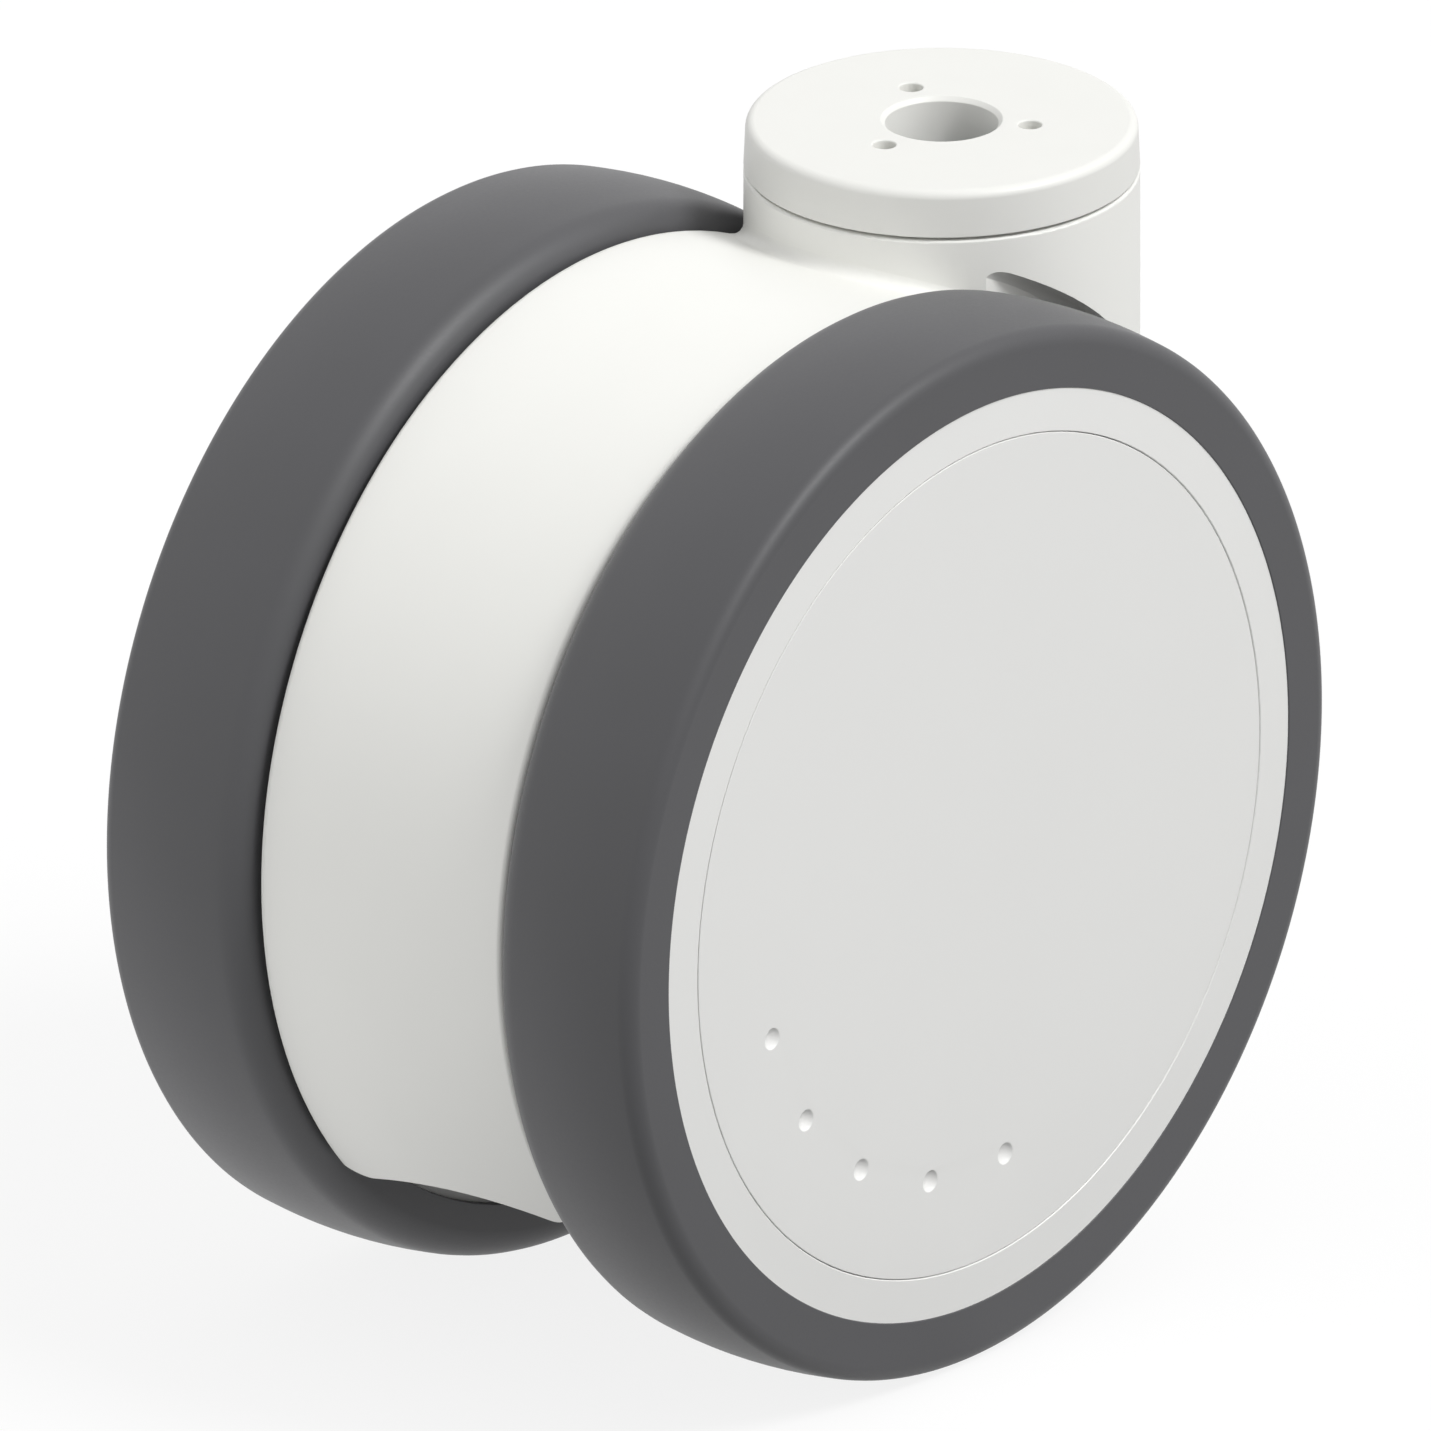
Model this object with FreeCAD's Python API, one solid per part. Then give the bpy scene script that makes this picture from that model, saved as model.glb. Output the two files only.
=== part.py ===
"""Twin wheel caster with a hooded housing, a plain bolt hole in the swivel head and ball bearings throughout.

Frame: millimetres, origin at the centre of the bolt hole on the head's top face, +Z up. The swivel axis
is Z. The axle lies along Y, behind the swivel axis on the -X side. The left wheel is on +Y and the right
wheel on -Y.
"""
import FreeCAD, Part
import math
import os

Vector = FreeCAD.Vector
ACROSS = Vector(0, 1, 0)
AHEAD = Vector(1, 0, 0)
UP = Vector(0, 0, 1)

# Head
BOLT_HOLE_DIAMETER = 13.0
BOLT_HOLE_CHAMFER = 0.5
HEAD_DISC_HEIGHT = 5.6
HEAD_EDGE_RADIUS = 1.1
HEAD_TAPER = 0.25
HEAD_GAP = 0.4
LOCATING_HOLE_DIAMETER = 2.7
LOCATING_HOLE_CIRCLE = 20.5
LOCATING_HOLE_DEPTH = 3.0
LOCATING_HOLES = 3
LOCATING_HOLE_START = 60.0

# Kingpin
KINGPIN_WALL = 2.0
KINGPIN_FLANGE_REACH = 5.4
KINGPIN_FLANGE_THICKNESS = 2.5
KINGPIN_COLLAR_HEIGHT = 0.5
KINGPIN_TAIL = 1.5
KINGPIN_CHAMFER = 0.5
SPIGOT_DIAMETER = 2.2
SPIGOT_INSET = 2.2
SPIGOT_SHORTFALL = 0.3

# Swivel bearings
SWIVEL_SECTION = 6.5
SWIVEL_WIDTH = 7.0
SWIVEL_BALL_DIAMETER = 4.0
SWIVEL_BALLS = 11
SWIVEL_SPREAD = 16.0

# Wheel bearings
WHEEL_BEARING_SECTION = 8.0
WHEEL_BEARING_WIDTH = 8.0
WHEEL_BALL_DIAMETER = 4.76
WHEEL_BALLS = 9

# All bearings and seats
LAND_FROM_PITCH = 1.25
RACE_CLEARANCE = 0.05
RING_EDGE_RADIUS = 0.4
CAGE_THICKNESS = 1.4
CAGE_RIM = 0.5
CAGE_PRONG = 0.6
POCKET_CLEARANCE = 0.1
SPACER_WALL = 1.8
SEAT_CLEARANCE = 0.01
CIRCLIP_THICKNESS = 1.0
CIRCLIP_WIDTH = 2.6
CIRCLIP_DEPTH = 0.5
CIRCLIP_GAP = 4.0
CIRCLIP_LUG_DIAMETER = 3.2
CIRCLIP_LUG_HOLE = 1.2
CIRCLIP_GROOVE_PLAY = 0.1

# Housing
BARREL_WALL = 7.7
BARREL_SIDE_WALL = 3.1
BARREL_OVERHANG = 4.8
BARREL_NOSE_RADIUS = 9.0
BARREL_RISE = 2.6
BARREL_ROOT_RADIUS = 1.3
BARREL_TOP_EDGE = 0.3
BARREL_TUBE_WALL = 3.5
SEAT_SHOULDER = 1.8
AXLE_TRAIL = 40.5
HOOD_INSET = 3.4
HOOD_WALL = 3.2
HOOD_RIM_RADIUS = 0.8
HOOD_EDGE_ANGLE = 38.1
HOOD_ARCH_RADIUS = 58.0
HOOD_ARCH_OFFSET = 8.0
HOOD_CORNER_RADIUS = 3.3
HOOD_TRIM_DEPTH = 6.0
HOOD_OPEN_DROP = 8.0
NOTCH_CLEARANCE = 1.7
NOTCH_CORNER_RADIUS = 1.9
NOTCH_BITE = 0.1
WEB_THICKNESS = 5.0
WEB_BELOW_BOSS = 4.0
WEB_FRONT_CLEARANCE = 1.0
BOSS_WALL = 5.0
RIB_THICKNESS = 2.5
RIB_INSET = 4.5
RIB_ANGLES = (62.0, 160.0)

# Axle
AXLE_DIAMETER = 12.0
AXLE_TAIL = 1.5
AXLE_CHAMFER = 0.5

# Wheels
WHEEL_DIAMETER = 126.0
TREAD_WIDTH = 20.75
TREAD_CROWN_RADIUS = 51.4
TREAD_CROWN_SHIFT = 0.5
WHEEL_GAP = 0.7
TYRE_THICKNESS = 7.8
TYRE_OUTER_SHOULDER = 2.1
TYRE_INNER_SHOULDER = 3.7
TYRE_KEY_HEIGHT = 1.6
TYRE_KEY_WIDTH = 8.0
RIM_WALL = 5.1
RIM_RECESS = 0.9
RIM_INNER_STEP = 0.4
RIM_FACE_DROP = 0.15
WHEEL_WEB_DISH = 1.3
WHEEL_WEB_THICKNESS = 3.2
WHEEL_WEB_FILLET = 1.5
WHEEL_RIBS = 10
WHEEL_RIB_THICKNESS = 2.5
HUB_WALL = 3.5
HUB_LIP = 3.0
HUB_OVERHANG = 2.6
COVER_THICKNESS = 2.5
COVER_CLEARANCE = 0.1
COVER_CHAMFER = 0.35
COVER_SKIRT_DEPTH = 3.9
COVER_SKIRT_WALL = 2.2
COVER_SPIGOT_WALL = 1.8
COVER_SPIGOT_CLEARANCE = 0.2
DIMPLE_DIAMETER = 2.75
DIMPLE_DEPTH = 0.6
DIMPLE_CIRCLE = 77.0
DIMPLES = 5
DIMPLE_START = 197.0
DIMPLE_STEP = 20.0

# Allowance past a surface, for a cut that has to go right through or a join that has to bite
PAST = 1.0

# Points looked at along an edge to tell which edge it is
EDGE_SAMPLES = 5

# Levels down the swivel axis
bolt_radius = BOLT_HOLE_DIAMETER / 2
pin_radius = bolt_radius + KINGPIN_WALL
flange_radius = pin_radius + KINGPIN_FLANGE_REACH
disc_bottom = -HEAD_DISC_HEIGHT
barrel_top = disc_bottom - HEAD_GAP
flange_bottom = disc_bottom - KINGPIN_FLANGE_THICKNESS
upper_bearing_top = flange_bottom - KINGPIN_COLLAR_HEIGHT
upper_bearing_bottom = upper_bearing_top - SWIVEL_WIDTH
lower_bearing_top = upper_bearing_bottom - SWIVEL_SPREAD
lower_bearing_bottom = lower_bearing_top - SWIVEL_WIDTH
pin_bottom = lower_bearing_bottom - CIRCLIP_THICKNESS - CIRCLIP_GROOVE_PLAY - KINGPIN_TAIL
barrel_bottom = pin_bottom - BARREL_OVERHANG

# Radii about the swivel axis
swivel_seat_radius = pin_radius + SEAT_CLEARANCE + SWIVEL_SECTION + SEAT_CLEARANCE
barrel_radius = swivel_seat_radius + BARREL_WALL
tube_radius = swivel_seat_radius + BARREL_TUBE_WALL

# Radii about the axle, and the axle's place
wheel_radius = WHEEL_DIAMETER / 2
hood_radius = wheel_radius - HOOD_INSET
hood_bore_radius = hood_radius - HOOD_WALL
notch_radius = wheel_radius + NOTCH_CLEARANCE
axle_radius = AXLE_DIAMETER / 2
boss_radius = axle_radius + BOSS_WALL
axle_drop = hood_radius + BARREL_RISE - barrel_top
rim_radius = wheel_radius - TYRE_THICKNESS
rim_inner_radius = rim_radius + RIM_INNER_STEP
rim_bore_radius = rim_radius - RIM_WALL
cover_radius = rim_bore_radius - COVER_CLEARANCE
wheel_seat_radius = axle_radius + SEAT_CLEARANCE + WHEEL_BEARING_SECTION + SEAT_CLEARANCE
hub_radius = wheel_seat_radius + HUB_WALL
AXLE_CENTRE = Vector(-AXLE_TRAIL, 0, -axle_drop)

# Length that clears the whole caster
clear_length = 2 * WHEEL_DIAMETER

# Stations outwards from the middle plane
hood_side = swivel_seat_radius + BARREL_SIDE_WALL
wheel_inner = hood_side + WHEEL_GAP
wheel_outer = wheel_inner + TREAD_WIDTH
wheel_middle = (wheel_inner + wheel_outer) / 2
rim_inner = wheel_inner + RIM_RECESS
key_start = wheel_middle - TYRE_KEY_WIDTH / 2
key_end = wheel_middle + TYRE_KEY_WIDTH / 2
key_radius = rim_radius + TYRE_KEY_HEIGHT
web_inner = rim_inner + WHEEL_WEB_DISH
web_outer = web_inner + WHEEL_WEB_THICKNESS
wheel_bearing_inner = wheel_middle - WHEEL_BEARING_WIDTH / 2
wheel_bearing_outer = wheel_middle + WHEEL_BEARING_WIDTH / 2
hub_outer = wheel_bearing_outer + HUB_OVERHANG
cover_inner = wheel_outer - COVER_THICKNESS
rib_outer = cover_inner - COVER_SKIRT_DEPTH
axle_end = wheel_bearing_outer + CIRCLIP_THICKNESS + CIRCLIP_GROOVE_PLAY + AXLE_TAIL


class Lathe:
    """A turning axis: profiles are drawn as (radius, along) and turned about it."""

    def __init__(self, base, axis, radial):
        self.base = base
        self.axis = axis
        self.radial = radial

    def place(self, radius, along, degrees=0.0):
        """Point at a radius and a distance along the axis, turned by degrees from the drawing plane."""
        spoke = FreeCAD.Rotation(self.axis, degrees).multVec(self.radial)
        return self.base + spoke * radius + self.axis * along

    def turn(self, *corners):
        """Solid turned from a closed profile of (radius, along) or (radius, along, rounding) corners."""
        wire = rounded_wire(corners, lambda point: self.place(point.x, point.y))
        return Part.Face(wire).revolve(self.base, self.axis, 360)

    def rod(self, radius, start, end, offset=0.0, degrees=0.0):
        """Cylinder parallel to the axis, between two stations along it."""
        return Part.makeCylinder(radius, end - start, self.place(offset, start, degrees), self.axis)


def rounded_wire(corners, place):
    """Closed wire through corners, each rounded by its own radius, with place() laying points in space."""
    full = [(*corner, 0.0)[:3] for corner in corners]
    flat = [Vector(a, b, 0) for a, b, _ in full]
    spans = []
    for number, (_, _, rounding) in enumerate(full):
        corner = flat[number]
        back = (flat[number - 1] - corner).normalize()
        ahead = (flat[(number + 1) % len(flat)] - corner).normalize()
        half = back.getAngle(ahead) / 2
        reach = rounding / math.tan(half)
        middle = corner + (back + ahead).normalize() * (rounding / math.sin(half) - rounding)
        spans.append((corner + back * reach, middle, corner + ahead * reach))
    edges = []
    for number, (start, middle, end) in enumerate(spans):
        if full[number][2] > 0:
            edges.append(Part.Arc(place(start), place(middle), place(end)).toShape())
        following = spans[(number + 1) % len(spans)][0]
        edges.append(Part.LineSegment(place(end), place(following)).toShape())
    return Part.Wire(edges)


SWIVEL = Lathe(Vector(0, 0, 0), UP, AHEAD)
AXLE = Lathe(AXLE_CENTRE, ACROSS, AHEAD)


def evenly(count, start=0.0):
    """Angles of equally spaced copies round a full turn."""
    return [start + 360.0 * number / count for number in range(count)]


def block(corner, first, second, third):
    """Box spanned by three vectors from one corner."""
    outline = [corner, corner + first, corner + first + second, corner + second, corner]
    return Part.Face(Part.makePolygon(outline)).extrude(third)


def slab(half_width):
    """Box that reaches past the whole housing, cut to a half width each side of the middle plane."""
    corner = AXLE_CENTRE - Vector(clear_length / 2, half_width, clear_length / 2)
    return block(corner, AHEAD * clear_length, ACROSS * (2 * half_width), UP * clear_length)


def ball_bearing(lathe, shaft_radius, section, start, width, ball_diameter, balls):
    """Inner ring, outer ring, balls and crown cage of a deep groove bearing on a shaft."""
    inner_radius = shaft_radius + SEAT_CLEARANCE
    outer_radius = inner_radius + section
    pitch = inner_radius + section / 2
    middle = start + width / 2
    end = start + width
    race = Part.makeTorus(pitch, ball_diameter / 2 + RACE_CLEARANCE, lathe.place(0, middle), lathe.axis)
    inner_ring = lathe.turn(
        (inner_radius, start, RING_EDGE_RADIUS),
        (pitch - LAND_FROM_PITCH, start),
        (pitch - LAND_FROM_PITCH, end),
        (inner_radius, end, RING_EDGE_RADIUS),
    ).cut(race)
    outer_ring = lathe.turn(
        (pitch + LAND_FROM_PITCH, start),
        (outer_radius, start, RING_EDGE_RADIUS),
        (outer_radius, end, RING_EDGE_RADIUS),
        (pitch + LAND_FROM_PITCH, end),
    ).cut(race)
    centres = [lathe.place(pitch, middle, degrees) for degrees in evenly(balls)]
    ball_set = Part.makeCompound([Part.makeSphere(ball_diameter / 2, centre) for centre in centres])
    pocket_radius = ball_diameter / 2 + POCKET_CLEARANCE
    hub_point = lathe.place(0, middle)
    pockets = [
        Part.makeCylinder(pocket_radius, outer_radius, hub_point, centre - hub_point) for centre in centres
    ]
    cage = lathe.turn(
        (pitch - CAGE_THICKNESS / 2, middle - CAGE_PRONG),
        (pitch + CAGE_THICKNESS / 2, middle - CAGE_PRONG),
        (pitch + CAGE_THICKNESS / 2, middle + pocket_radius + CAGE_RIM),
        (pitch - CAGE_THICKNESS / 2, middle + pocket_radius + CAGE_RIM),
    ).cut(pockets)
    return {"inner_ring": inner_ring, "outer_ring": outer_ring, "balls": ball_set, "cage": cage}


def circlip(lathe, shaft_radius, start):
    """Open retaining ring with two pierced lugs, in its groove on a shaft."""
    groove_radius = shaft_radius - CIRCLIP_DEPTH
    outer_radius = groove_radius + CIRCLIP_WIDTH
    end = start + CIRCLIP_THICKNESS
    lug_turn = math.degrees((CIRCLIP_GAP + CIRCLIP_LUG_DIAMETER) / 2 / outer_radius)
    ring = lathe.rod(outer_radius, start, end)
    lugs = [
        lathe.rod(CIRCLIP_LUG_DIAMETER / 2, start, end, outer_radius, side * lug_turn) for side in (-1, 1)
    ]
    ring = ring.fuse(lugs).cut(lathe.rod(groove_radius, start - PAST, end + PAST))
    sideways = lathe.axis.cross(lathe.radial)
    opening = block(
        lathe.place(0, start - PAST) - sideways * (CIRCLIP_GAP / 2),
        sideways * CIRCLIP_GAP,
        lathe.radial * (2 * outer_radius),
        lathe.axis * (CIRCLIP_THICKNESS + 2 * PAST),
    )
    eyes = [
        lathe.rod(CIRCLIP_LUG_HOLE / 2, start - PAST, end + PAST, outer_radius, side * lug_turn)
        for side in (-1, 1)
    ]
    return ring.cut([opening, *eyes]).removeSplitter()


def head_disc():
    """White plate on top of the head, moulded onto the kingpin's flange with three spigots."""
    disc = SWIVEL.turn(
        (bolt_radius + BOLT_HOLE_CHAMFER, 0),
        (barrel_radius - HEAD_TAPER, 0, HEAD_EDGE_RADIUS),
        (barrel_radius, disc_bottom),
        (bolt_radius, disc_bottom),
        (bolt_radius, -BOLT_HOLE_CHAMFER),
    )
    holes = [
        SWIVEL.rod(LOCATING_HOLE_DIAMETER / 2, -LOCATING_HOLE_DEPTH, PAST, LOCATING_HOLE_CIRCLE / 2, degrees)
        for degrees in evenly(LOCATING_HOLES, LOCATING_HOLE_START)
    ]
    spigot_end = flange_bottom + SPIGOT_SHORTFALL
    spigots = [
        SWIVEL.rod(SPIGOT_DIAMETER / 2, spigot_end, disc_bottom + PAST, flange_radius - SPIGOT_INSET, degrees)
        for degrees in evenly(LOCATING_HOLES)
    ]
    return disc.cut(holes).fuse(spigots).removeSplitter()


def kingpin():
    """Hollow steel pin that the mounting bolt passes through, with its flange under the head disc."""
    collar_radius = pin_radius + SPACER_WALL
    groove_radius = pin_radius - CIRCLIP_DEPTH
    groove_bottom = lower_bearing_bottom - CIRCLIP_THICKNESS - CIRCLIP_GROOVE_PLAY
    pin = SWIVEL.turn(
        (bolt_radius, disc_bottom),
        (flange_radius, disc_bottom),
        (flange_radius, flange_bottom),
        (collar_radius, flange_bottom),
        (collar_radius, upper_bearing_top),
        (pin_radius, upper_bearing_top),
        (pin_radius, lower_bearing_bottom),
        (groove_radius, lower_bearing_bottom),
        (groove_radius, groove_bottom),
        (pin_radius, groove_bottom),
        (pin_radius, pin_bottom + KINGPIN_CHAMFER),
        (pin_radius - KINGPIN_CHAMFER, pin_bottom),
        (bolt_radius, pin_bottom),
    )
    sockets = [
        SWIVEL.rod(
            SPIGOT_DIAMETER / 2 + SEAT_CLEARANCE,
            flange_bottom - PAST,
            disc_bottom + PAST,
            flange_radius - SPIGOT_INSET,
            degrees,
        )
        for degrees in evenly(LOCATING_HOLES)
    ]
    return pin.cut(sockets)


def bearing_spacer():
    """Sleeve on the kingpin that holds the two swivel bearings apart."""
    inner = pin_radius + SEAT_CLEARANCE
    outer = pin_radius + SPACER_WALL
    return SWIVEL.turn(
        (inner, lower_bearing_top),
        (outer, lower_bearing_top),
        (outer, upper_bearing_bottom),
        (inner, upper_bearing_bottom),
    )


def barrel():
    """Round barrel under the head, with a rounded nose at its foot."""
    return SWIVEL.turn(
        (0, barrel_top),
        (barrel_radius, barrel_top, BARREL_TOP_EDGE),
        (barrel_radius, barrel_bottom, BARREL_NOSE_RADIUS),
        (0, barrel_bottom),
    )


def tyre_notch(side):
    """Space that one turning tyre needs beside the barrel, with the notch's rounded inner corner."""
    near = hood_side - NOTCH_BITE
    far = wheel_outer + PAST
    return AXLE.turn(
        (0, side * near),
        (notch_radius, side * near, NOTCH_CORNER_RADIUS),
        (notch_radius, side * far),
        (0, side * far),
    )


def from_axle(point):
    """Distance of a point from the axle's centre line."""
    return math.hypot(point.x + AXLE_TRAIL, point.z + axle_drop)


def lies_on_root(edge):
    """Whether an edge is the seam between the hood's crown and the back of the barrel."""
    return all(
        abs(math.hypot(point.x, point.y) - barrel_radius) < SEAT_CLEARANCE
        and abs(from_axle(point) - hood_radius) < HOOD_RIM_RADIUS + SEAT_CLEARANCE
        and point.x < 0
        for point in edge.discretize(EDGE_SAMPLES)
    )


def housing_outside():
    """Drum, barrel and their blended root as one solid body, with the tyre notches cut."""
    drum = AXLE.turn(
        (0, -hood_side),
        (hood_radius, -hood_side, HOOD_RIM_RADIUS),
        (hood_radius, hood_side, HOOD_RIM_RADIUS),
        (0, hood_side),
    )
    core = drum.fuse(barrel().common(slab(hood_side))).removeSplitter()
    core = core.makeFillet(BARREL_ROOT_RADIUS, [edge for edge in core.Edges if lies_on_root(edge)])
    cheeks = barrel().cut([slab(hood_side), tyre_notch(1), tyre_notch(-1)])
    return core.fuse(cheeks).removeSplitter()


def housing_inside():
    """Web, axle boss, ribs and bearing tube that stand inside the drum."""
    boss = AXLE.rod(boss_radius, -hood_side, hood_side)
    tube = SWIVEL.rod(tube_radius, barrel_bottom, barrel_top)
    web = AXLE.rod(hood_radius, -WEB_THICKNESS / 2, WEB_THICKNESS / 2)
    web_foot = boss_radius + WEB_BELOW_BOSS
    edge_down = hood_bore_radius * math.sin(math.radians(HOOD_EDGE_ANGLE))
    edge_out = hood_bore_radius * math.cos(math.radians(HOOD_EDGE_ANGLE))
    arch_rise = edge_down - web_foot
    arch_radius = (edge_out**2 + arch_rise**2) / (2 * arch_rise)
    arch = Part.makeCylinder(
        arch_radius,
        WEB_THICKNESS + 2 * PAST,
        AXLE_CENTRE - UP * (web_foot + arch_radius) - ACROSS * (WEB_THICKNESS / 2 + PAST),
        ACROSS,
    )
    access = block(
        Vector(-swivel_seat_radius - WEB_FRONT_CLEARANCE, -WEB_THICKNESS / 2 - PAST, barrel_bottom),
        AHEAD * clear_length,
        ACROSS * (WEB_THICKNESS + 2 * PAST),
        UP * -clear_length,
    )
    rib_reach = hood_radius - HOOD_WALL / 2
    ribs = []
    for angle in RIB_ANGLES:
        rib = block(
            AXLE_CENTRE - ACROSS * (hood_side - RIB_INSET) - UP * (RIB_THICKNESS / 2),
            AHEAD * rib_reach,
            ACROSS * (2 * (hood_side - RIB_INSET)),
            UP * RIB_THICKNESS,
        )
        rib.rotate(AXLE_CENTRE, ACROSS, -angle)
        ribs.append(rib)
    return boss.fuse([tube, web.cut([arch, access]), *ribs])


def hood_trim(heading):
    """Waste below the hood's back (-1) or front (1) edge, which is a shallow arch with rounded corners."""
    angle = math.radians(HOOD_EDGE_ANGLE)
    outwards = Vector(heading * math.cos(angle), 0, -math.sin(angle))
    downwards = Vector(-heading * math.sin(angle), 0, -math.cos(angle))
    inside = AXLE_CENTRE + outwards * (hood_bore_radius - HOOD_TRIM_DEPTH)
    through = outwards * (HOOD_TRIM_DEPTH + HOOD_WALL + PAST)
    top = inside - downwards * HOOD_ARCH_RADIUS
    fall = downwards * (2 * HOOD_ARCH_RADIUS)
    crown = inside + downwards * HOOD_ARCH_RADIUS - ACROSS * HOOD_ARCH_OFFSET
    arch = Part.makeCylinder(HOOD_ARCH_RADIUS, through.Length, crown, outwards)
    flap = block(top - ACROSS * hood_side, ACROSS * (2 * hood_side), fall, through).cut(arch)

    def is_corner(edge):
        """Whether an edge of the flap stands where a side meets the arch."""
        return all(
            abs(abs(point.y) - hood_side) < SEAT_CLEARANCE and (point - AXLE_CENTRE).dot(downwards) > 0
            for point in edge.discretize(EDGE_SAMPLES)
        )

    flap = flap.makeFillet(HOOD_CORNER_RADIUS, [edge for edge in flap.Edges if is_corner(edge)])
    side = hood_side + PAST
    return block(top - ACROSS * side, ACROSS * (2 * side), fall, through).cut(flap)


def open_bottom():
    """Waste of the drum below both of the hood's edges."""
    below = hood_radius * math.sin(math.radians(HOOD_EDGE_ANGLE)) + HOOD_OPEN_DROP
    corner = AXLE_CENTRE - Vector(clear_length / 2, clear_length / 2, below)
    return block(corner, AHEAD * clear_length, ACROSS * clear_length, UP * -clear_length)


def fork_housing():
    """White moulded housing: hood over the gap between the wheels, barrel, web and axle boss in one piece."""
    hollow = AXLE.rod(hood_bore_radius, -hood_side - PAST, hood_side + PAST)
    body = housing_outside().cut(hollow.cut(housing_inside()))
    seats = [
        SWIVEL.rod(swivel_seat_radius, upper_bearing_bottom, barrel_top + PAST),
        SWIVEL.rod(swivel_seat_radius - SEAT_SHOULDER, barrel_bottom - PAST, barrel_top),
        SWIVEL.rod(swivel_seat_radius, barrel_bottom - PAST, lower_bearing_top),
        AXLE.rod(axle_radius + SEAT_CLEARANCE, -hood_side - PAST, hood_side + PAST),
    ]
    return body.cut(seats).cut([hood_trim(-1), hood_trim(1), open_bottom()]).removeSplitter()


def axle():
    """Steel axle with a circlip groove near each end."""
    groove_radius = axle_radius - CIRCLIP_DEPTH
    groove_end = wheel_bearing_outer + CIRCLIP_THICKNESS + CIRCLIP_GROOVE_PLAY
    half = [
        (axle_radius, wheel_bearing_outer),
        (groove_radius, wheel_bearing_outer),
        (groove_radius, groove_end),
        (axle_radius, groove_end),
        (axle_radius, axle_end - AXLE_CHAMFER),
        (axle_radius - AXLE_CHAMFER, axle_end),
        (0, axle_end),
    ]
    other_half = [(radius, -along) for radius, along in reversed(half)]
    return AXLE.turn(*half, *other_half)


def axle_spacer():
    """Sleeve on the axle between the housing's boss and the wheel bearing."""
    inner = axle_radius + SEAT_CLEARANCE
    outer = axle_radius + SPACER_WALL
    return AXLE.turn(
        (inner, hood_side), (outer, hood_side), (outer, wheel_bearing_inner), (inner, wheel_bearing_inner)
    )


def tyre():
    """Grey tyre with a plain crowned tread, moulded round the rim and keyed to it."""
    slope = math.asin((TREAD_WIDTH / 2 - TYRE_INNER_SHOULDER) / TREAD_CROWN_RADIUS)
    crown = wheel_middle + TREAD_CROWN_SHIFT
    peak = wheel_radius + TREAD_CROWN_RADIUS * (1 / math.cos(slope) - 1)
    return AXLE.turn(
        (rim_inner_radius, wheel_inner),
        (peak - (crown - wheel_inner) * math.tan(slope), wheel_inner, TYRE_INNER_SHOULDER),
        (peak, crown, TREAD_CROWN_RADIUS),
        (peak - (wheel_outer - crown) * math.tan(slope), wheel_outer, TYRE_OUTER_SHOULDER),
        (rim_radius, wheel_outer),
        (rim_radius, key_end),
        (key_radius, key_end),
        (key_radius, key_start),
        (rim_inner_radius, key_start),
    )


def wheel_centre():
    """Moulded wheel body: rim, web, ribs and hub with the bearing seat."""
    lip_radius = wheel_seat_radius - HUB_LIP
    body = AXLE.turn(
        (lip_radius, rim_inner),
        (hub_radius, rim_inner),
        (hub_radius, web_inner),
        (rim_bore_radius, web_inner),
        (rim_bore_radius, rim_inner),
        (rim_inner_radius, rim_inner),
        (rim_inner_radius, key_start),
        (key_radius, key_start),
        (key_radius, key_end),
        (rim_radius, key_end),
        (rim_radius, wheel_outer - RIM_FACE_DROP),
        (rim_bore_radius + COVER_CHAMFER, wheel_outer),
        (rim_bore_radius, wheel_outer - COVER_CHAMFER),
        (rim_bore_radius, web_outer, WHEEL_WEB_FILLET),
        (hub_radius, web_outer, WHEEL_WEB_FILLET),
        (hub_radius, hub_outer),
        (wheel_seat_radius, hub_outer),
        (wheel_seat_radius, wheel_bearing_inner),
        (lip_radius, wheel_bearing_inner),
    )
    rib_start = hub_radius - HUB_WALL / 2
    web_middle = (web_inner + web_outer) / 2
    ribs = []
    for angle in evenly(WHEEL_RIBS):
        rib = block(
            AXLE.place(rib_start, web_middle) - UP * (WHEEL_RIB_THICKNESS / 2),
            AHEAD * (rim_bore_radius + RIM_WALL / 2 - rib_start),
            ACROSS * (rib_outer - web_middle),
            UP * WHEEL_RIB_THICKNESS,
        )
        rib.rotate(AXLE_CENTRE, ACROSS, angle)
        ribs.append(rib)
    return body.fuse(ribs).removeSplitter()


def wheel_cover():
    """Light round cover pressed into the rim, with a row of dimples near its edge."""
    skirt_radius = cover_radius - COVER_SKIRT_WALL
    spigot_radius = wheel_seat_radius - COVER_SPIGOT_CLEARANCE
    spigot_bore = spigot_radius - COVER_SPIGOT_WALL
    spigot_end = wheel_bearing_outer + COVER_SPIGOT_CLEARANCE
    cover = AXLE.turn(
        (0, wheel_outer),
        (cover_radius - COVER_CHAMFER, wheel_outer),
        (cover_radius, wheel_outer - COVER_CHAMFER),
        (cover_radius, rib_outer),
        (skirt_radius, rib_outer),
        (skirt_radius, cover_inner),
        (spigot_radius, cover_inner),
        (spigot_radius, spigot_end),
        (spigot_bore, spigot_end),
        (spigot_bore, cover_inner),
        (0, cover_inner),
    )
    sphere_radius = ((DIMPLE_DIAMETER / 2) ** 2 + DIMPLE_DEPTH**2) / (2 * DIMPLE_DEPTH)
    dimples = []
    for number in range(DIMPLES):
        angle = DIMPLE_START + DIMPLE_STEP * number
        centre = AXLE.place(DIMPLE_CIRCLE / 2, wheel_outer + sphere_radius - DIMPLE_DEPTH, -angle)
        dimples.append(Part.makeSphere(sphere_radius, centre))
    return cover.cut(dimples)


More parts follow.
